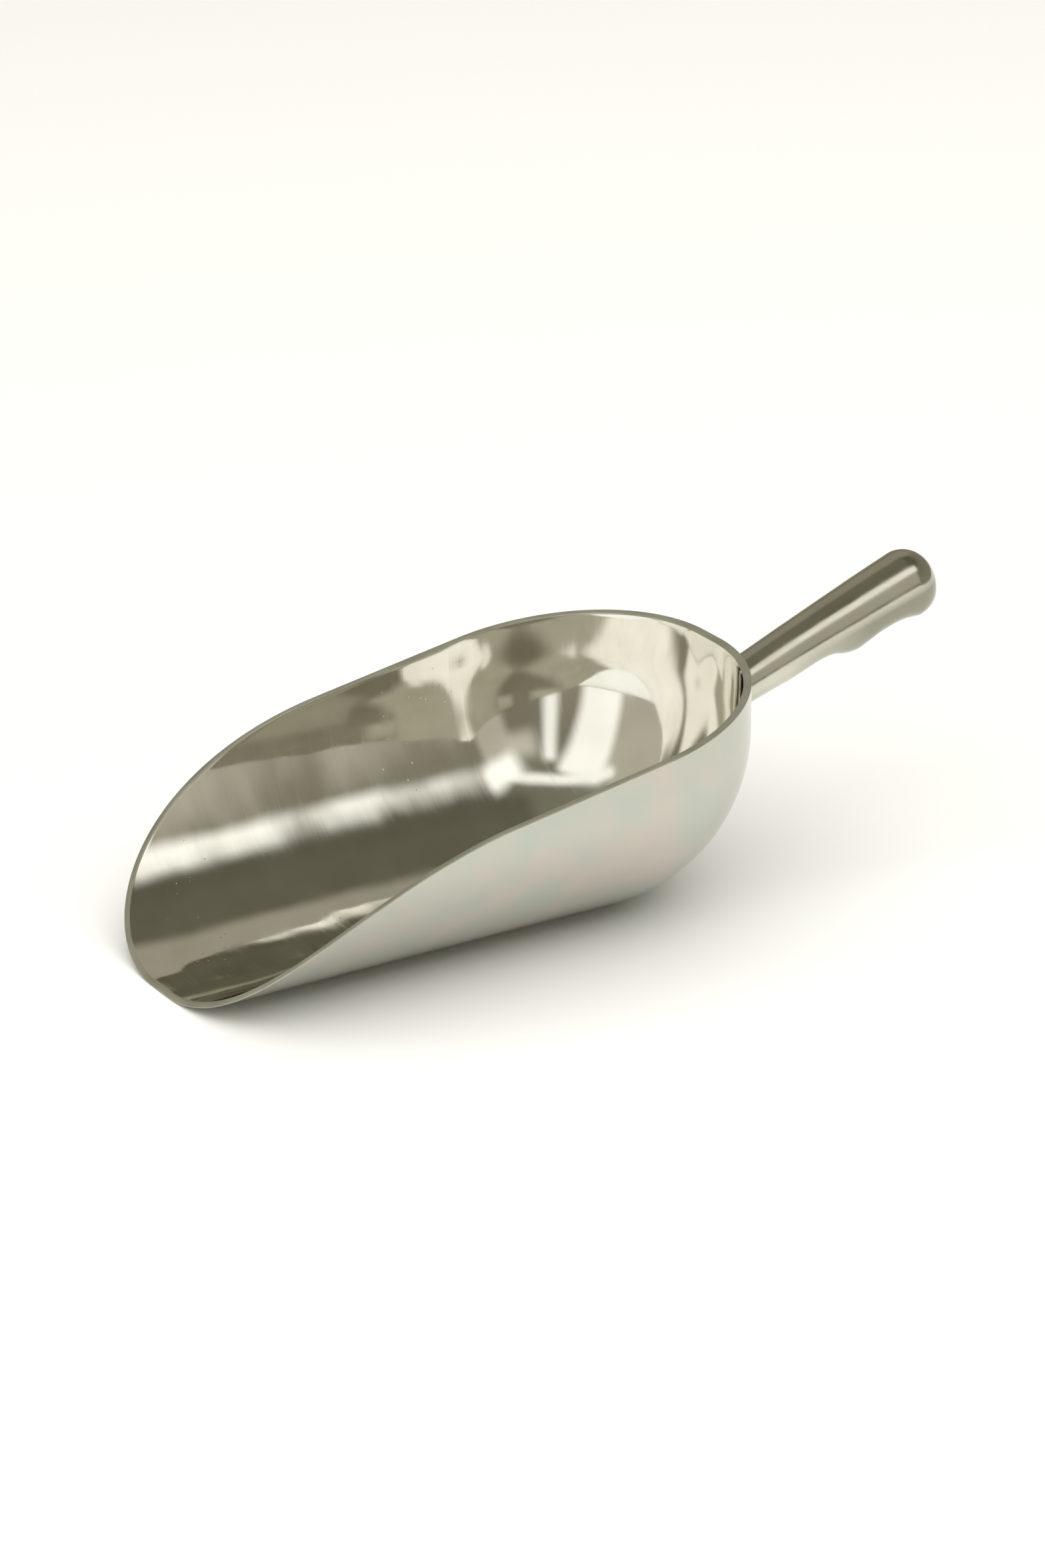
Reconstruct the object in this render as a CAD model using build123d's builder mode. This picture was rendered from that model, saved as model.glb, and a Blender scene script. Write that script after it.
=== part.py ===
"""A cast aluminium ice scoop: a deep rounded bowl with a contoured handle welded to its back.

Millimetres. +X points out over the lip, +Y to the left of someone holding the handle, +Z up.
The origin is the middle of the flat strip along the belly, on which the scoop rests.
"""
import os
from math import atan, cos, degrees, pi, radians, sin, tan

from build123d import *

# Bowl: a box whose belly, sides and back corners are all rounded to one radius.
BOWL_WIDTH = 168.0
BELLY_FLAT_WIDTH = 12.0
TROUGH_LENGTH = 196.0
WALL_AT_BACK = 3.6
WALL_AT_LIP = 2.2
BLOCK_HEIGHT = 110.0
CORNER_RADIUS = (BOWL_WIDTH - BELLY_FLAT_WIDTH) / 2
HOLLOW_CORNER_RADIUS = CORNER_RADIUS - (WALL_AT_BACK + WALL_AT_LIP) / 2

# Where the straight trough turns into the rounded back, the lip, and the outside of the back wall.
TROUGH_START_X = -TROUGH_LENGTH / 2
LIP_X = TROUGH_LENGTH / 2
BACK_X = TROUGH_START_X - CORNER_RADIUS
WALL_TAPER = atan((WALL_AT_BACK - WALL_AT_LIP) / (LIP_X - BACK_X))

# Rim, seen from the side: a straight slope down from the back, then one arc down to the lip.
RIM_BACK_HEIGHT = 102.2
RIM_FALL_PER_LENGTH = 0.172
RIM_SLOPE = atan(RIM_FALL_PER_LENGTH)
RIM_STRAIGHT_OVER_TROUGH = 73.5
RIM_ARC_RADIUS = 192.0
RIM_ARC_START_X = TROUGH_START_X + RIM_STRAIGHT_OVER_TROUGH
RIM_ARC_END_SLOPE = radians(58)
TRIM_MARGIN = 30.0

# Handle: it leaves the back wall at ROOT and rises away from the bowl.
HANDLE_RISE = radians(18.5)
HANDLE_LENGTH = 122.0
ROOT_HEIGHT = 70.9
ROOT = (BACK_X, 0.0, ROOT_HEIGHT)
ROOT_OVERLAP = 12.0
HANDLE_AXIS = (-cos(HANDLE_RISE), 0.0, sin(HANDLE_RISE))
BUTT_LENGTH = 14.0
BUTT_STEPS = 5
LAST_BUTT_STEP = 5.5
BUTT_SQUARENESS = 0.5
HANDLE_SKIN = 3.5
CORE_END_STEP = 7.0
CORE_END_SHRINK = 0.5

# Distance from the wall, half height above the axis, half height below it, half width.
# The underside dips twice for the fingers, and swells between the dips and at the butt.
HANDLE_SECTIONS = [
    (-ROOT_OVERLAP, 9.2, 9.6, 10.5),
    (18.0, 10.6, 9.4, 10.9),
    (38.0, 11.9, 9.8, 11.5),
    (46.0, 12.4, 9.3, 11.8),
    (54.0, 12.8, 9.0, 12.1),
    (61.0, 13.2, 10.3, 12.4),
    (67.0, 13.5, 13.4, 12.7),
    (73.0, 13.8, 15.0, 13.0),
    (79.0, 14.1, 14.4, 13.2),
    (87.0, 14.5, 13.2, 13.5),
    (98.0, 14.9, 13.7, 13.9),
    (HANDLE_LENGTH - BUTT_LENGTH, 15.2, 16.8, 14.3),
]

# Weld bead round the root of the handle.
WELD_HEIGHT = 4.5
WELD_LENGTH = 6.0
WELD_ROOT_RADIUS = 10.2


def edges_to_round(block):
    """The edges round a block's belly and back: all but the open top and front."""
    back_face = block.faces().sort_by(Axis.X)[0]
    belly_face = block.faces().sort_by(Axis.Z)[0]
    return back_face.edges().sort_by(Axis.Z)[:-1] + belly_face.edges().sort_by(Axis.X)[1:-1]


def handle_plane(distance):
    """The plane square to the handle's axis, at a distance from the back wall; local Y is up."""
    origin = tuple(r + distance * a for r, a in zip(ROOT, HANDLE_AXIS))
    return Plane(origin=origin, x_dir=(0, -1, 0), z_dir=HANDLE_AXIS)


def handle_section(distance, above, below, half_width):
    """One cross-section of the handle: two half ellipses that share their width."""
    with BuildSketch(handle_plane(distance)) as section:
        with BuildLine():
            EllipticalCenterArc((0, 0), half_width, above, start_angle=0, arc_size=180)
            EllipticalCenterArc((0, 0), half_width, below, start_angle=180, arc_size=180)
        make_face()
    return section.sketch


def butt_sections():
    """Cross-sections that shrink along a quarter ellipse, to round off the end of the handle.

    Below the axis they shrink later, because the butt is squarer there. The last one stops a
    little short of the ellipse's end, where a section would have no size.
    """
    start, above, below, half_width = HANDLE_SECTIONS[-1]
    for step in range(1, BUTT_STEPS + 1):
        turn = step / LAST_BUTT_STEP * pi / 2
        shrink = cos(turn)
        lower = below * shrink ** BUTT_SQUARENESS
        yield start + BUTT_LENGTH * sin(turn), above * shrink, lower, half_width * shrink


os.makedirs("parts", exist_ok=True)

# The outside of the bowl as a solid block, before it is hollowed.
with BuildPart() as bowl_block:
    with BuildSketch():
        with Locations(((BACK_X + LIP_X) / 2, 0)):
            Rectangle(LIP_X - BACK_X, BOWL_WIDTH)
    extrude(amount=BLOCK_HEIGHT)
    fillet(edges_to_round(bowl_block), radius=CORNER_RADIUS)

# The hollow as a solid block. It widens and drops towards the lip, where the wall is thinnest.
with BuildPart() as hollow:
    hollow_floor = Plane(
        origin=(BACK_X, 0, WALL_AT_BACK),
        x_dir=(cos(WALL_TAPER), 0, -sin(WALL_TAPER)),
        z_dir=(sin(WALL_TAPER), 0, cos(WALL_TAPER)),
    )
    hollow_length = LIP_X - BACK_X + TRIM_MARGIN
    back_half_width = BOWL_WIDTH / 2 - WALL_AT_BACK
    front_half_width = back_half_width + hollow_length * tan(WALL_TAPER)
    with BuildSketch(hollow_floor):
        with BuildLine():
            Polyline(
                (WALL_AT_BACK, -back_half_width),
                (hollow_length, -front_half_width),
                (hollow_length, front_half_width),
                (WALL_AT_BACK, back_half_width),
                close=True,
            )
        make_face()
    extrude(amount=BLOCK_HEIGHT + TRIM_MARGIN)
    fillet(edges_to_round(hollow), radius=HOLLOW_CORNER_RADIUS)

with BuildPart() as bowl:
    add(bowl_block.part)
    add(hollow.part, mode=Mode.SUBTRACT)
    # Everything above the rim is trimmed away by one profile, pushed right across the bowl.
    arc_start_height = RIM_BACK_HEIGHT - (RIM_ARC_START_X - BACK_X) * tan(RIM_SLOPE)
    with BuildSketch(Plane.XZ):
        with BuildLine():
            slope = Line((BACK_X, RIM_BACK_HEIGHT), (RIM_ARC_START_X, arc_start_height))
            drop = JernArc(slope @ 1, slope % 1, RIM_ARC_RADIUS, -degrees(RIM_ARC_END_SLOPE - RIM_SLOPE))
            Polyline(
                drop @ 1,
                (LIP_X + TRIM_MARGIN, (drop @ 1).Y),
                (LIP_X + TRIM_MARGIN, BLOCK_HEIGHT + TRIM_MARGIN),
                (BACK_X - TRIM_MARGIN, BLOCK_HEIGHT + TRIM_MARGIN),
                (BACK_X - TRIM_MARGIN, RIM_BACK_HEIGHT),
                (BACK_X, RIM_BACK_HEIGHT),
            )
        make_face()
    extrude(amount=BOWL_WIDTH, both=True, mode=Mode.SUBTRACT)

# The handle is cored, so that the scoop's weight stays over its belly flat. The core opens onto
# the back wall, which closes it.
with BuildPart() as handle_core:
    for distance, *sizes in HANDLE_SECTIONS:
        add(handle_section(distance, *(size - HANDLE_SKIN for size in sizes)))
    core_end = [(size - HANDLE_SKIN) * CORE_END_SHRINK for size in HANDLE_SECTIONS[-1][1:]]
    add(handle_section(HANDLE_SECTIONS[-1][0] + CORE_END_STEP, *core_end))
    loft(ruled=True)

with BuildPart() as handle:
    for station in HANDLE_SECTIONS:
        add(handle_section(*station))
    for station in butt_sections():
        add(handle_section(*station))
    loft(ruled=True)
    add(handle_core.part, mode=Mode.SUBTRACT)
    add(bowl_block.part, mode=Mode.SUBTRACT)

with BuildPart() as handle_weld:
    with BuildSketch(handle_plane(-WELD_LENGTH)):
        Circle(WELD_ROOT_RADIUS + WELD_HEIGHT)
    with BuildSketch(handle_plane(WELD_LENGTH)):
        Circle(WELD_ROOT_RADIUS)
    loft()
    add(bowl_block.part, mode=Mode.SUBTRACT)
    add(handle.part, mode=Mode.SUBTRACT)
    add(handle_core.part, mode=Mode.SUBTRACT)

bowl.part.label = "bowl"
handle.part.label = "handle"
handle_weld.part.label = "handle_weld"

export_step(bowl.part, "parts/bowl.step")
export_step(handle.part, "parts/handle.step")
export_step(handle_weld.part, "parts/handle_weld.step")
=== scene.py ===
"""Looks of the cast aluminium ice scoop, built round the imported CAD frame. Metres, +Z up, lip at +X."""

from math import acos, atan, cos, pi, radians, sin, sqrt, tan

import bmesh
import bpy
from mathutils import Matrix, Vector


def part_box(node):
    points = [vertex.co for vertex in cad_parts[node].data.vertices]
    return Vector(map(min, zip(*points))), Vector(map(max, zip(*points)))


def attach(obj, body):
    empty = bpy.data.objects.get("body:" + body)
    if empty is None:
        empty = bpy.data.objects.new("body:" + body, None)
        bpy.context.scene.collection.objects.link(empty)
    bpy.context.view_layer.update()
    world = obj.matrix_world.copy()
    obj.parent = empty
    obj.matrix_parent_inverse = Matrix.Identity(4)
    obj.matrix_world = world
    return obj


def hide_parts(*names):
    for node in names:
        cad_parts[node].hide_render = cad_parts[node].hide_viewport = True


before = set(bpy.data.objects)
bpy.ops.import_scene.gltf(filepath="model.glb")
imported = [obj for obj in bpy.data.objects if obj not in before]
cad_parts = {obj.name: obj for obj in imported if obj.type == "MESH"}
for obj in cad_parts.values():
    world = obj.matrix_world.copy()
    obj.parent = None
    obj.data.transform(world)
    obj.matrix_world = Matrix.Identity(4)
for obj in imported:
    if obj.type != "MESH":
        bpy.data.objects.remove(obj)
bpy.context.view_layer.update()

# Bowl: half width, lip, back and rim height come from the frame, the rest are its design dimensions.
BOWL_LOW, BOWL_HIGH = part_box("bowl")
HALF_WIDTH = BOWL_HIGH.y
LIP_X = BOWL_HIGH.x
BACK_X = BOWL_LOW.x
RIM_BACK_HEIGHT = BOWL_HIGH.z
CORNER_RADIUS = 0.078
WALL_AT_BACK = 0.0036
WALL_AT_LIP = 0.0022
FLAT = HALF_WIDTH - CORNER_RADIUS
TROUGH_X = BACK_X + CORNER_RADIUS
TROUGH_LENGTH = LIP_X - TROUGH_X

# Rim, seen from the side: a straight slope, then an arc down to the lip.
RIM_FALL_PER_LENGTH = 0.172
RIM_SLOPE = atan(RIM_FALL_PER_LENGTH)
RIM_STRAIGHT_OVER_TROUGH = 0.0735
RIM_ARC_START_X = TROUGH_X + RIM_STRAIGHT_OVER_TROUGH
RIM_ARC_RADIUS = 0.192
RIM_EDGE_ROUND = 0.0007

# Surfaces of the bowl, in the order of its materials.
BOWL_SURFACES = ("inside", "outside", "rim")

# Handle. Its first ring stands clear of the wall, and its root is sunk into the wall's skin.
HANDLE_RISE = radians(18.5)
HANDLE_LENGTH = 0.122
ROOT_HEIGHT = 0.0709
HANDLE_ROOT = Vector((BACK_X, 0.0, ROOT_HEIGHT))
HANDLE_AXIS = Vector((-cos(HANDLE_RISE), 0.0, sin(HANDLE_RISE)))
HANDLE_UP = Vector((sin(HANDLE_RISE), 0.0, cos(HANDLE_RISE)))
SIDEWAYS = Vector((0.0, 1.0, 0.0))
BUTT_LENGTH = 0.014
BUTT_SQUARENESS = 0.5
FIRST_RING = 0.005
ROOT_SUNK = 0.001

# Cross-sections of the handle, as in its CAD solid: distance, above, below, half width.
HANDLE_SECTIONS = [
    (-0.012, 0.0092, 0.0096, 0.0105),
    (0.018, 0.0106, 0.0094, 0.0109),
    (0.038, 0.0119, 0.0098, 0.0115),
    (0.046, 0.0124, 0.0093, 0.0118),
    (0.054, 0.0128, 0.0090, 0.0121),
    (0.061, 0.0132, 0.0103, 0.0124),
    (0.067, 0.0135, 0.0134, 0.0127),
    (0.073, 0.0138, 0.0150, 0.0130),
    (0.079, 0.0141, 0.0144, 0.0132),
    (0.087, 0.0145, 0.0132, 0.0135),
    (0.098, 0.0149, 0.0137, 0.0139),
    (HANDLE_LENGTH - BUTT_LENGTH, 0.0152, 0.0168, 0.0143),
]

# Weld bead: how far it reaches along the handle and over the wall, how full its hollow face is,
# and how far its edges and its hidden sides are sunk in the metal.
WELD_ALONG = 0.0048
WELD_OVER_WALL = 0.0040
WELD_FULLNESS = 0.0009
WELD_EDGE_SUNK = 0.0001
WELD_SUNK_IN_WALL = 0.0008
WELD_SUNK_IN_HANDLE = 0.0012

# Ripples in the size of the bead round the root: share of its size, how many, phase.
WELD_RIPPLES = [(0.05, 9, 0.6), (0.03, 17, 0.0)]

# Where painted shade darkens the handle's underside towards its butt, from none to full: by distance along
# its axis and by height from it.
PAINTED_SHADE_ALONG = (0.030, 0.080)
PAINTED_SHADE_HEIGHT = (0.0035, -0.0010)

# Mesh fineness.
LIP_RIBS = 120
CORNER_RIBS = 56
WALL_POINTS = 52
FLAT_POINTS = 3
ROUND_POINTS = 4
BAND_POINTS = 3
HANDLE_RINGS = 130
HANDLE_POINTS = 72
BUTT_RINGS = 26
WELD_POINTS_ROUND = 96
WELD_POINTS_ACROSS = 10

# How far the foot of the foremost rib of the trough stands back, as a share of the trough's length.
RIB_LEAN = 0.25

# How close two corners or points are when they count as one.
SAME_CORNER = 1e-7
SAME_POINT = 2e-6

# How far past the lip its end is looked for, and how many steps each search takes.
PAST_LIP = 0.01
LIP_SEARCH_STEPS = 50
ROOT_SEARCH_STEPS = 6

# Camera, at the photographed angle.
CAMERA_AIM = Vector((-0.086, -0.0105, 0.048))
CAMERA_AZIMUTH = radians(147.7)
CAMERA_ELEVATION = radians(22.75)
CAMERA_DISTANCE = 2.1
CAMERA_LENS = 112.5
CAMERA_FAR_END = 50.0

# Floor and the one lamp.
FLOOR_SIZE = 14.0
FLOOR_COLOUR = (0.93, 0.93, 0.92, 1)
FLOOR_ROUGHNESS = 0.9
LAMP_PLACE = (-0.1, 0.4, 3.0)
LAMP_AIM = (-0.1, 0.0, 0.0)
LAMP_SIZE = 6.0
LAMP_POWER = 162.0


# ---------------------------------------------------------------- bowl

def rim_height(x):
    """Height of the rim at x."""
    if x <= RIM_ARC_START_X:
        return RIM_BACK_HEIGHT - (x - BACK_X) * tan(RIM_SLOPE)
    start_height = RIM_BACK_HEIGHT - (RIM_ARC_START_X - BACK_X) * tan(RIM_SLOPE)
    centre_x = RIM_ARC_START_X - RIM_ARC_RADIUS * sin(RIM_SLOPE)
    centre_z = start_height - RIM_ARC_RADIUS * cos(RIM_SLOPE)
    return centre_z + sqrt(max(RIM_ARC_RADIUS ** 2 - (x - centre_x) ** 2, 0.0))


def lip_end(floor_height):
    """Where the rim comes down to a floor of that height."""
    low, high = RIM_ARC_START_X, LIP_X + PAST_LIP
    for _ in range(LIP_SEARCH_STEPS):
        middle = (low + high) / 2
        if rim_height(middle) > floor_height:
            low = middle
        else:
            high = middle
    return (low + high) / 2


def section_radius(x, inside):
    """Corner radius of the outside, or of the inside, where the wall thins towards the lip."""
    wall = WALL_AT_BACK + (WALL_AT_LIP - WALL_AT_BACK) * (x - BACK_X) / (LIP_X - BACK_X)
    return CORNER_RADIUS - wall if inside else CORNER_RADIUS


def girth(height, radius):
    """Length along a cross-section from the centre line up to a height."""
    if height >= CORNER_RADIUS:
        return FLAT + radius * pi / 2 + height - CORNER_RADIUS
    drop = min((CORNER_RADIUS - height) / radius, 1.0)
    return FLAT + radius * acos(drop)


def across(distance, rim_radius, radius):
    """Half width and height of a cross-section at a distance along it from the centre line.

    The distance is measured on the section at the rim, whose radius may differ a little.
    """
    floor = CORNER_RADIUS - radius
    if distance <= FLAT:
        return distance, floor
    turn = (distance - FLAT) / rim_radius
    if turn <= pi / 2:
        return FLAT + radius * sin(turn), CORNER_RADIUS - radius * cos(turn)
    return FLAT + radius, CORNER_RADIUS + (turn - pi / 2) * rim_radius


def wall_fractions(radius):
    """How far along a rib each of its points lies, from the rim to the centre line."""
    full = girth(rim_height(TROUGH_X), radius)
    curved = [(full - FLAT) / full * k / WALL_POINTS for k in range(WALL_POINTS + 1)]
    flat = [1 - FLAT / full * (1 - k / FLAT_POINTS) for k in range(1, FLAT_POINTS + 1)]
    return curved + flat


def trough_rib(share, inside):
    """Points of one rib of the trough, from the rim to the centre line.

    share runs from 0 at the tip of the lip to 1 at the rounded back. The ribs are straight on the
    trough's flat development, and lean forwards near the lip so that they always meet the rim.
    """
    tip = lip_end(CORNER_RADIUS - section_radius(LIP_X, inside))
    rim_x = TROUGH_X + (tip - TROUGH_X) * (1 - share ** 2)
    rim_radius = section_radius(rim_x, inside)
    rim_girth = girth(rim_height(rim_x), rim_radius) if share > 0 else 0.0
    along = (rim_x - TROUGH_X) / TROUGH_LENGTH
    base_x = TROUGH_X + TROUGH_LENGTH * (along - RIB_LEAN * along ** 3)
    points = []
    for fraction in wall_fractions(section_radius(TROUGH_X, inside)):
        x = rim_x + (base_x - rim_x) * fraction
        side, height = across(rim_girth * (1 - fraction), rim_radius, section_radius(x, inside))
        points.append(Vector((x, side, height)))
    return points


def back_rib(direction, foot, inside):
    """Points of one rib of the rounded back, from the rim down to its foot on the belly."""
    rim_radius = section_radius(foot.x + direction.x * CORNER_RADIUS, inside)
    rim_girth = girth(rim_height(foot.x + direction.x * rim_radius), rim_radius) - FLAT
    points = []
    for k in range(WALL_POINTS + 1):
        distance = FLAT + rim_girth * (1 - k / WALL_POINTS)
        turn = min((distance - FLAT) / rim_radius, pi / 2)
        radius = section_radius(foot.x + direction.x * rim_radius * sin(turn), inside)
        reach, height = across(distance, rim_radius, radius)
        points.append(foot + direction * (reach - FLAT) + Vector((0, 0, height)))
    return points


def half_ribs(inside):
    """All the ribs of one side, from the tip of the lip round to the middle of the back."""
    ribs = [trough_rib(k / LIP_RIBS, inside) for k in range(LIP_RIBS + 1)]
    for k in range(CORNER_RIBS + 1):
        turn = k / CORNER_RIBS * pi / 2
        ribs.append(back_rib(Vector((-sin(turn), cos(turn), 0)), Vector((TROUGH_X, FLAT, 0)), inside))
    for k in range(1, FLAT_POINTS + 1):
        foot = Vector((TROUGH_X, FLAT * (1 - k / FLAT_POINTS), 0))
        ribs.append(back_rib(Vector((-1, 0, 0)), foot, inside))
    return ribs


def rounded_corner(before, corner, after):
    """Points of a small rounded corner between two points either side of it."""
    points = []
    for k in range(ROUND_POINTS + 1):
        t = k / ROUND_POINTS
        points.append(before * (1 - t) ** 2 + corner * 2 * t * (1 - t) + after * t ** 2)
    return points


def add_strip(mesh, first, second, material, flip):
    """Quads between two rows of points that run side by side."""
    for k in range(len(first) - 1):
        corners = [first[k], first[k + 1], second[k + 1], second[k]]
        if flip:
            corners.reverse()
        distinct = [c for n, c in enumerate(corners) if (c.co - corners[n - 1].co).length > SAME_CORNER]
        if len(distinct) < 3:
            continue
        face = mesh.faces.new(distinct)
        face.material_index = material
        face.smooth = True


def bowl_mesh():
    """The whole bowl: outside, inside and a rim with rounded edges, as one closed surface."""
    mesh = bmesh.new()
    for side in (1, -1):
        rows = []
        for outer, inner in zip(half_ribs(inside=False), half_ribs(inside=True)):
            across_rim = (inner[0] - outer[0]).normalized() * RIM_EDGE_ROUND
            outer_cut = outer[0] + (outer[1] - outer[0]).normalized() * RIM_EDGE_ROUND
            inner_cut = inner[0] + (inner[1] - inner[0]).normalized() * RIM_EDGE_ROUND
            outer_edge = rounded_corner(outer_cut, outer[0], outer[0] + across_rim)
            inner_edge = rounded_corner(inner[0] - across_rim, inner[0], inner_cut)
            steps = [k / (BAND_POINTS + 1) for k in range(1, BAND_POINTS + 1)]
            band = [outer_edge[-1].lerp(inner_edge[0], step) for step in steps]
            rows.append({
                "outside": outer[:0:-1] + [outer_cut],
                "rim": outer_edge + band + inner_edge,
                "inside": [inner_cut] + inner[1:],
            })
        placed = [
            {
                part: [mesh.verts.new((p.x, p.y * side, p.z)) for p in points]
                for part, points in row.items()
            }
            for row in rows
        ]
        for first, second in zip(placed, placed[1:]):
            for material, part in enumerate(BOWL_SURFACES):
                # The last rib of the trough and the first of the back lie in one place, with no strip.
                if len(first[part]) == len(second[part]):
                    add_strip(mesh, first[part], second[part], material, flip=side > 0)
    bmesh.ops.remove_doubles(mesh, verts=mesh.verts, dist=SAME_POINT)
    bmesh.ops.recalc_face_normals(mesh, faces=mesh.faces)
    return mesh


# ---------------------------------------------------------------- handle

def smooth_section(distance):
    """Above, below and half width at a distance along the handle, on a smooth curve through its sections."""
    rows = HANDLE_SECTIONS
    k = max(n for n in range(len(rows) - 1) if rows[n][0] <= distance or n == 0)
    before, start, end, after = rows[max(k - 1, 0)], rows[k], rows[k + 1], rows[min(k + 2, len(rows) - 1)]
    span = end[0] - start[0]
    t = (distance - start[0]) / span
    values = []
    for n in (1, 2, 3):
        slope_in = (end[n] - before[n]) / (end[0] - before[0]) * span
        slope_out = (after[n] - start[n]) / (after[0] - start[0]) * span
        values.append(
            start[n] * (2 * t ** 3 - 3 * t ** 2 + 1)
            + slope_in * (t ** 3 - 2 * t ** 2 + t)
            + end[n] * (3 * t ** 2 - 2 * t ** 3)
            + slope_out * (t ** 3 - t ** 2)
        )
    return values


def ring_offset(turn, above, below, half_width):
    """A point of a cross-section, from its centre."""
    height = above if sin(turn) > 0 else below
    return SIDEWAYS * (half_width * cos(turn)) + HANDLE_UP * (height * sin(turn))


def wall_surface_x(height):
    """Outside of the bowl's back at a height, on its centre line."""
    drop = max(CORNER_RADIUS - height, 0.0)
    return TROUGH_X - sqrt(CORNER_RADIUS ** 2 - drop ** 2)


def root_point(turn, sunk):
    """Where the handle's side meets the back wall, sunk into the wall by a small depth."""
    offset = ring_offset(turn, *smooth_section(0.0))
    point = HANDLE_ROOT + offset
    for _ in range(ROOT_SEARCH_STEPS):
        gap = wall_surface_x(point.z) + sunk - point.x
        point = point + HANDLE_AXIS * (gap / HANDLE_AXIS.x)
    return point


def handle_mesh():
    """The handle, from inside the back wall's skin to the rounded butt."""
    mesh = bmesh.new()
    turns = [2 * pi * k / HANDLE_POINTS for k in range(HANDLE_POINTS)]
    rings = [[root_point(turn, ROOT_SUNK) for turn in turns]]
    stop = HANDLE_LENGTH - BUTT_LENGTH
    for k in range(HANDLE_RINGS + 1):
        distance = FIRST_RING + (stop - FIRST_RING) * k / HANDLE_RINGS
        section = smooth_section(distance)
        centre = HANDLE_ROOT + HANDLE_AXIS * distance
        rings.append([centre + ring_offset(turn, *section) for turn in turns])
    for k in range(1, BUTT_RINGS):
        sweep = k / BUTT_RINGS * pi / 2
        above, below, half_width = HANDLE_SECTIONS[-1][1:]
        shrink = cos(sweep)
        section = (above * shrink, below * shrink ** BUTT_SQUARENESS, half_width * shrink)
        centre = HANDLE_ROOT + HANDLE_AXIS * (stop + BUTT_LENGTH * sin(sweep))
        rings.append([centre + ring_offset(turn, *section) for turn in turns])
    placed = [[mesh.verts.new(p) for p in ring] for ring in rings]
    for first, second in zip(placed, placed[1:]):
        add_strip(mesh, first + first[:1], second + second[:1], 0, flip=False)
    tip = mesh.verts.new(HANDLE_ROOT + HANDLE_AXIS * HANDLE_LENGTH)
    root = mesh.verts.new(sum((v.co for v in placed[0]), Vector()) / HANDLE_POINTS)
    for end, ring in ((tip, placed[-1]), (root, placed[0])):
        for k in range(HANDLE_POINTS):
            mesh.faces.new((end, ring[k - 1], ring[k])).smooth = True
    bmesh.ops.recalc_face_normals(mesh, faces=mesh.faces)
    return mesh


def weld_section(turn):
    """Points round one cross-section of the weld bead: its face, then its sides sunk in the metal."""
    ripple = 1 + sum(size * sin(turn * count + phase) for size, count, phase in WELD_RIPPLES)
    corner = root_point(turn, sunk=0.0)
    outward = ring_offset(turn, 1, 1, 1)
    outward.x = 0
    outward.normalize()
    along = corner + HANDLE_AXIS * (WELD_ALONG * ripple) - outward * WELD_EDGE_SUNK
    foot = corner + outward * (WELD_OVER_WALL * ripple)
    foot.x = wall_surface_x(foot.z) + WELD_EDGE_SUNK
    control = corner + (HANDLE_AXIS + outward) * WELD_FULLNESS
    points = []
    for k in range(WELD_POINTS_ACROSS + 1):
        t = k / WELD_POINTS_ACROSS
        points.append(along * (1 - t) ** 2 + control * 2 * t * (1 - t) + foot * t ** 2)
    into_wall = Vector((WELD_SUNK_IN_WALL, 0, 0))
    points.append(foot + into_wall)
    points.append(corner - outward * WELD_SUNK_IN_HANDLE + into_wall)
    points.append(along - outward * WELD_SUNK_IN_HANDLE)
    return points


def weld_mesh():
    """The ground bead that fills the corner between the handle and the back wall."""
    mesh = bmesh.new()
    rows = []
    for k in range(WELD_POINTS_ROUND):
        rows.append([mesh.verts.new(p) for p in weld_section(2 * pi * k / WELD_POINTS_ROUND)])
    for k in range(WELD_POINTS_ROUND):
        first, second = rows[k - 1], rows[k]
        add_strip(mesh, first + first[:1], second + second[:1], 0, flip=False)
    bmesh.ops.recalc_face_normals(mesh, faces=mesh.faces)
    return mesh


def add_piece(name, mesh, node, materials):
    """Puts a finished mesh in the scene in place of a CAD node."""
    data = bpy.data.meshes.new(name)
    mesh.to_mesh(data)
    mesh.free()
    for material in materials:
        data.materials.append(material)
    piece = bpy.data.objects.new(name, data)
    bpy.context.scene.collection.objects.link(piece)
    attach(piece, "root")
    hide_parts(node)


# ---------------------------------------------------------------- materials

# The sockets that a mix node uses when it mixes colours.
MIX_SHARE = 0
MIX_UNDER = 6
MIX_OVER = 7
MIX_RESULT = 2


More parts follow.
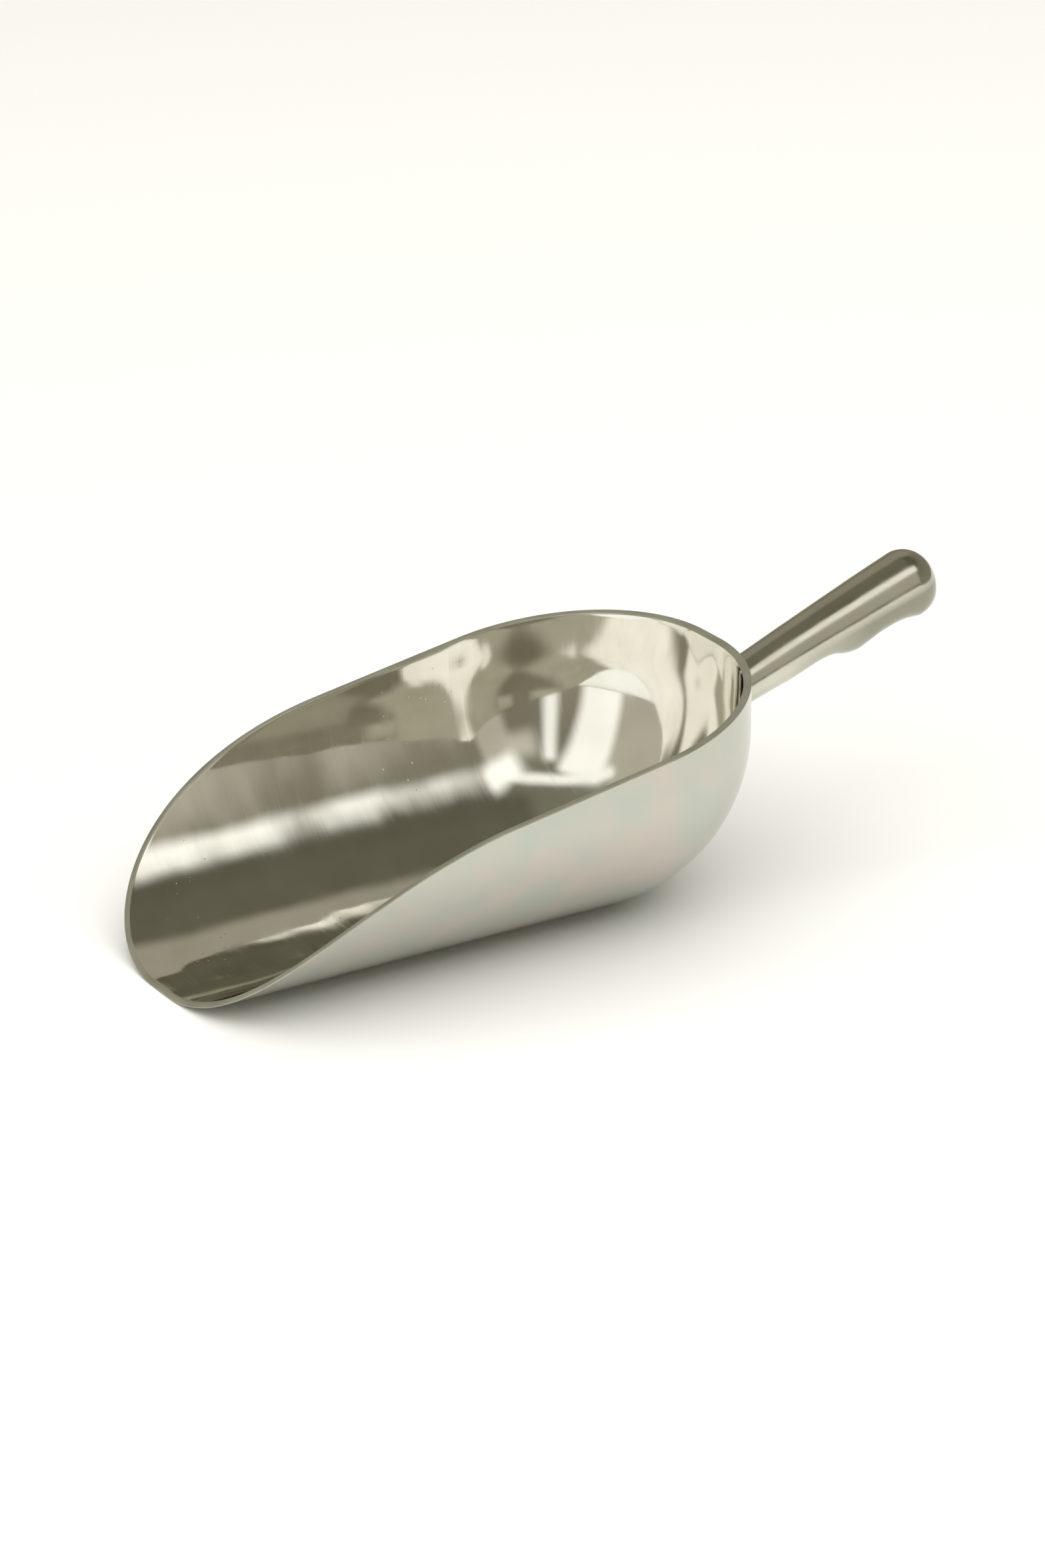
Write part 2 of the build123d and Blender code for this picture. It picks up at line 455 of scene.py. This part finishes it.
class Nodes:
    """A small helper that adds and joins a material's nodes."""

    def __init__(self, name):
        self.material = bpy.data.materials.new(name)
        self.material.use_nodes = True
        self.tree = self.material.node_tree
        self.shader = self.tree.nodes["Principled BSDF"]
        self.coordinates = self.tree.nodes.new("ShaderNodeTexCoord").outputs["Object"]

    def add(self, kind, inputs, **settings):
        """Adds a node, with its settings and with values or links on its inputs."""
        node = self.tree.nodes.new(kind)
        for key, value in settings.items():
            setattr(node, key, value)
        for key, value in inputs.items():
            if isinstance(value, bpy.types.NodeSocket):
                self.tree.links.new(value, node.inputs[key])
            else:
                node.inputs[key].default_value = value
        return node

    def stretched(self, scale, rotation=(0, 0, 0)):
        """Object coordinates, stretched so that a texture runs as long streaks."""
        inputs = {"Vector": self.coordinates, "Scale": scale, "Rotation": rotation}
        return self.add("ShaderNodeMapping", inputs).outputs["Vector"]

    def along(self, axis, start):
        """How far the point being shaded lies along an axis from a start."""
        inputs = {0: self.coordinates, 1: axis}
        distance = self.add("ShaderNodeVectorMath", inputs, operation="DOT_PRODUCT").outputs["Value"]
        return self.math("SUBTRACT", distance, start.dot(axis))

    def noise(self, vector, scale, detail=4.0, roughness=0.55):
        """A cloudy texture, from 0 to 1."""
        inputs = {"Vector": vector, "Scale": scale, "Detail": detail, "Roughness": roughness}
        return self.add("ShaderNodeTexNoise", inputs).outputs["Fac"]

    def ramp(self, value, source, result=(0.0, 1.0)):
        """Turns a range of a value into another range, and holds it at that range's ends."""
        inputs = {
            "Value": value,
            "From Min": source[0],
            "From Max": source[1],
            "To Min": result[0],
            "To Max": result[1],
        }
        return self.add("ShaderNodeMapRange", inputs).outputs["Result"]

    def math(self, operation, first, second):
        """A sum, a product or another operation on two values."""
        return self.add("ShaderNodeMath", {0: first, 1: second}, operation=operation).outputs[0]

    def mix_colour(self, share, under, over):
        """One colour laid over another, as much as share says."""
        mix = self.add("ShaderNodeMix", {}, data_type="RGBA")
        self.tree.links.new(share, mix.inputs[MIX_SHARE])
        for socket, value in ((MIX_UNDER, under), (MIX_OVER, over)):
            if isinstance(value, bpy.types.NodeSocket):
                self.tree.links.new(value, mix.inputs[socket])
            else:
                mix.inputs[socket].default_value = (*value, 1)
        return mix.outputs[MIX_RESULT]

    def bump(self, height, distance, under=None, strength=1.0):
        """Relief of a height texture, on top of the relief under it."""
        inputs = {"Height": height, "Strength": strength, "Distance": distance}
        if under is not None:
            inputs["Normal"] = under
        return self.add("ShaderNodeBump", inputs).outputs["Normal"]

    def plug(self, socket, value):
        """Joins a value to an input of the material's shader."""
        self.tree.links.new(value, self.shader.inputs[socket])


# Textures that all the aluminium shares. Scales are in cells per metre, and ranges say which part of
# a texture's 0 to 1 is spread over the whole change.
CLOUD_SCALE = 48.0
CLOUD_COLOUR_RANGE = (0.3, 0.7)
CLOUD_ROUGHNESS_RANGE = (0.35, 0.7)
STREAK_RANGE = (0.3, 0.7)
STREAK_ROUGHNESS = (-0.035, 0.06)
CROSSED_TURN = (0.04, 0.03, 0.05)
CROSSED_STRENGTH = 0.6
PIT_SCALE = 260.0
PIT_RADIUS_RANGE = (0.12, 0.06)
PIT_PATCH_SCALE = 22.0
PIT_PATCH_RANGE = (0.64, 0.72)
PIT_ROUGHNESS = 0.4
PIT_DEPTH = 0.0001
SWELL_SCALE = 7.0
SWELL_PER_WAVE = 3
WAVE_SCALE = (26, 26, 8)


def aluminium(name, bright, dull, roughness, streak_scale, wave, hairline, pits, metallic=1.0, painted_underside_shade=None):
    """Cast aluminium: uneven from hand polishing, with hairlines along streak_scale and a few casting pits.

    wave and hairline are the depths of the slow waves and of the hairlines, and pits is from 0 to 1.
    The last argument is the colour of painted shade laid under the handle towards its butt.
    """
    nodes = Nodes(name)
    clouds = nodes.noise(nodes.coordinates, CLOUD_SCALE, detail=1.0)
    streaks = nodes.noise(nodes.stretched(streak_scale), 1.0, detail=6.0, roughness=0.7)
    crossed = nodes.noise(nodes.stretched(tuple(reversed(streak_scale)), CROSSED_TURN), 1.0)
    spots = nodes.add("ShaderNodeTexVoronoi", {"Vector": nodes.coordinates, "Scale": PIT_SCALE})
    patches = nodes.noise(nodes.coordinates, PIT_PATCH_SCALE, detail=1.0)
    patchy = nodes.ramp(patches, PIT_PATCH_RANGE, (0.0, pits))
    pit = nodes.math("MULTIPLY", nodes.ramp(spots.outputs["Distance"], PIT_RADIUS_RANGE), patchy)

    colour = nodes.mix_colour(nodes.ramp(clouds, CLOUD_COLOUR_RANGE), dull, bright)
    # Painted shade: the handle's underside is darkened towards its butt, where it lies in shade.
    if painted_underside_shade is not None:
        outward = nodes.ramp(nodes.along(HANDLE_AXIS, HANDLE_ROOT), PAINTED_SHADE_ALONG)
        under = nodes.ramp(nodes.along(HANDLE_UP, HANDLE_ROOT), PAINTED_SHADE_HEIGHT)
        colour = nodes.mix_colour(nodes.math("MULTIPLY", outward, under), colour, painted_underside_shade)
    nodes.plug("Base Color", colour)

    cloudy = nodes.ramp(clouds, CLOUD_ROUGHNESS_RANGE, roughness)
    rough = nodes.math("ADD", cloudy, nodes.ramp(streaks, STREAK_RANGE, STREAK_ROUGHNESS))
    nodes.plug("Roughness", nodes.math("ADD", rough, nodes.math("MULTIPLY", pit, PIT_ROUGHNESS)))

    swell = nodes.noise(nodes.coordinates, SWELL_SCALE, detail=1.0, roughness=0.4)
    waves = nodes.noise(nodes.stretched(WAVE_SCALE), 1.0, detail=1.5, roughness=0.4)
    normal = nodes.bump(swell, wave * SWELL_PER_WAVE)
    normal = nodes.bump(waves, wave, normal)
    normal = nodes.bump(streaks, hairline, normal)
    normal = nodes.bump(crossed, hairline, normal, strength=CROSSED_STRENGTH)
    normal = nodes.bump(nodes.math("MULTIPLY", pit, -1.0), PIT_DEPTH, normal)
    nodes.plug("Normal", normal)
    nodes.shader.inputs["Metallic"].default_value = metallic
    return nodes.material


# ---------------------------------------------------------------- light, floor and camera

def add_lamp():
    """One large soft lamp overhead, which lights the floor and doesn't show in the metal."""
    light = bpy.data.lights.new("overhead", "AREA")
    light.size = LAMP_SIZE
    light.energy = LAMP_POWER
    lamp = bpy.data.objects.new("overhead", light)
    lamp.location = LAMP_PLACE
    lamp.rotation_euler = (Vector(LAMP_AIM) - Vector(LAMP_PLACE)).to_track_quat("-Z", "Y").to_euler()
    lamp.visible_glossy = False
    bpy.context.scene.collection.objects.link(lamp)


def add_floor():
    """A plain pale floor."""
    bpy.ops.mesh.primitive_plane_add(size=FLOOR_SIZE)
    floor = bpy.context.active_object
    floor.name = "floor"
    material = bpy.data.materials.new("floor")
    material.use_nodes = True
    shader = material.node_tree.nodes["Principled BSDF"]
    shader.inputs["Base Color"].default_value = FLOOR_COLOUR
    shader.inputs["Roughness"].default_value = FLOOR_ROUGHNESS
    floor.data.materials.append(material)


# Soft panels of the room round the scoop. Each faces the scoop from an azimuth and elevation, and
# reaches half its width and height from there, all in degrees; then how soft its edges are, and
# its brightness. Later panels stand in front of earlier ones.
ROOM_PANELS = [
    (-15, 24, 26, 26, 14, 0.47),
    (-115, 46, 16, 14, 12, 0.34),
    (-60, 5, 6, 5, 8, 0.50),
    (165, 66, 10, 10, 14, 0.12),
    (-165, 66, 8, 8, 10, 0.13),
    (85, 16, 18, 10, 10, 0.22),
    (106, 28, 8, 18, 8, 0.50),
    (22, 28, 9, 28, 9, 1.15),
    (57, 26, 1.0, 22, 8, 1.05),
    (56, 66, 36, 0.5, 6, 1.10),
    (84, 39, 4, 2, 14, 0.60),
    (113, 51, 9, 3, 11, 1.25),
]
ROOM_OVERHEAD = 0.20
ROOM_HORIZON = 0.27
ROOM_DARK = (1.0, 0.93, 0.64)
ROOM_LIGHT = (1.0, 0.985, 0.93)


def room_colour(brightness):
    """Dark parts of the room are olive brown, bright parts are nearly white."""
    share = min(brightness, 1.0)
    tint = [dark + (light - dark) * share for dark, light in zip(ROOM_DARK, ROOM_LIGHT)]
    return [brightness * channel for channel in tint] + [1]


class Sky:
    """A small helper that adds and joins the world's nodes."""

    def __init__(self, tree):
        self.tree = tree
        self.direction = tree.nodes.new("ShaderNodeTexCoord").outputs["Generated"]

    def along(self, axis):
        """How far the direction points along an axis."""
        node = self.tree.nodes.new("ShaderNodeVectorMath")
        node.operation = "DOT_PRODUCT"
        node.inputs[1].default_value = axis
        self.tree.links.new(self.direction, node.inputs[0])
        return node.outputs["Value"]

    def math(self, operation, first, second=0.0):
        """A product, a size without its sign or another operation on one or two values."""
        node = self.tree.nodes.new("ShaderNodeMath")
        node.operation = operation
        for socket, value in zip(node.inputs, (first, second)):
            if isinstance(value, bpy.types.NodeSocket):
                self.tree.links.new(value, socket)
            else:
                socket.default_value = value
        return node.outputs[0]

    def fade(self, value, full, gone):
        """1 up to full, and smoothly down to 0 at gone."""
        node = self.tree.nodes.new("ShaderNodeMapRange")
        node.interpolation_type = "SMOOTHSTEP"
        node.inputs["From Min"].default_value = gone
        node.inputs["From Max"].default_value = full
        self.tree.links.new(value, node.inputs["Value"])
        return node.outputs["Result"]

    def panel(self, azimuth, elevation, half_width, half_height, softness):
        """Where one panel is: 1 on it, 0 away from it, soft at its edges."""
        turn = radians(azimuth)
        tilt = radians(elevation)
        ahead = self.along((cos(tilt) * cos(turn), cos(tilt) * sin(turn), sin(tilt)))
        aside = self.math("ABSOLUTE", self.along((-sin(turn), cos(turn), 0.0)))
        above = self.math("ABSOLUTE", self.along((-sin(tilt) * cos(turn), -sin(tilt) * sin(turn), cos(tilt))))
        wide = self.fade(aside, sin(radians(half_width)), sin(radians(half_width + softness)))
        high = self.fade(above, sin(radians(half_height)), sin(radians(half_height + softness)))
        here = self.math("GREATER_THAN", ahead, 0.0)
        return self.math("MULTIPLY", self.math("MULTIPLY", wide, high), here)

    def mix(self, share, under, over):
        """One colour laid over another, as much as share says."""
        node = self.tree.nodes.new("ShaderNodeMix")
        node.data_type = "RGBA"
        self.tree.links.new(share, node.inputs[MIX_SHARE])
        node.inputs[MIX_OVER].default_value = over
        if isinstance(under, bpy.types.NodeSocket):
            self.tree.links.new(under, node.inputs[MIX_UNDER])
        else:
            node.inputs[MIX_UNDER].default_value = under
        return node.outputs[MIX_RESULT]


def add_world():
    """A plain soft room: dim overhead, lighter at the horizon, with soft panels of light."""
    world = bpy.data.worlds.new("studio")
    bpy.context.scene.world = world
    world.use_nodes = True
    sky = Sky(world.node_tree)
    height = sky.along((0.0, 0.0, 1.0))
    colour = sky.mix(sky.fade(height, 1.0, 0.0), room_colour(ROOM_HORIZON), room_colour(ROOM_OVERHEAD))
    for *place, brightness in ROOM_PANELS:
        colour = sky.mix(sky.panel(*place), colour, room_colour(brightness))
    world.node_tree.links.new(colour, world.node_tree.nodes["Background"].inputs["Color"])


def add_camera():
    """The camera, at the photographed angle."""
    camera = bpy.data.cameras.new("camera")
    camera.lens = CAMERA_LENS
    camera.clip_end = CAMERA_FAR_END
    holder = bpy.data.objects.new("camera", camera)
    back = Vector((
        sin(CAMERA_AZIMUTH) * cos(CAMERA_ELEVATION),
        -cos(CAMERA_AZIMUTH) * cos(CAMERA_ELEVATION),
        sin(CAMERA_ELEVATION),
    ))
    holder.location = CAMERA_AIM + back * CAMERA_DISTANCE
    holder.rotation_euler = (-back).to_track_quat("-Z", "Y").to_euler()
    bpy.context.scene.collection.objects.link(holder)
    bpy.context.scene.camera = holder


# ---------------------------------------------------------------- the scoop and its studio

polished = aluminium(
    "polished_inside",
    bright=(0.88, 0.87, 0.81),
    dull=(0.80, 0.79, 0.72),
    roughness=(0.04, 0.09),
    streak_scale=(420, 20, 12),
    wave=0.0010,
    hairline=0.000007,
    pits=0.6,
)
satin = aluminium(
    "satin_outside",
    bright=(0.60, 0.55, 0.495),
    dull=(0.515, 0.545, 0.485),
    roughness=(0.14, 0.20),
    streak_scale=(8, 30, 380),
    wave=0.0001,
    hairline=0.0000015,
    pits=0.0,
)
ground = aluminium(
    "ground_rim",
    bright=(0.51, 0.50, 0.42),
    dull=(0.40, 0.39, 0.32),
    roughness=(0.33, 0.44),
    streak_scale=(200, 300, 300),
    wave=0.0002,
    hairline=0.00002,
    pits=1.0,
    metallic=0.75,
)
brushed = aluminium(
    "brushed_handle",
    bright=(0.67, 0.65, 0.57),
    dull=(0.60, 0.59, 0.51),
    roughness=(0.12, 0.18),
    streak_scale=(22, 480, 480),
    wave=0.0002,
    hairline=0.000006,
    pits=0.3,
    # Colour of the painted shade under the handle towards its butt.
    painted_underside_shade=(0.31, 0.30, 0.24),
)
bead = aluminium(
    "ground_weld",
    bright=(0.60, 0.59, 0.53),
    dull=(0.48, 0.47, 0.41),
    roughness=(0.34, 0.46),
    streak_scale=(240, 260, 260),
    wave=0.0003,
    hairline=0.00003,
    pits=1.0,
)

add_piece("bowl_shell", bowl_mesh(), "bowl", [polished, satin, ground])
add_piece("handle_grip", handle_mesh(), "handle", [brushed])
add_piece("weld_bead", weld_mesh(), "handle_weld", [bead])

add_floor()
add_world()
add_lamp()
add_camera()
bpy.context.scene.view_settings.view_transform = "Standard"
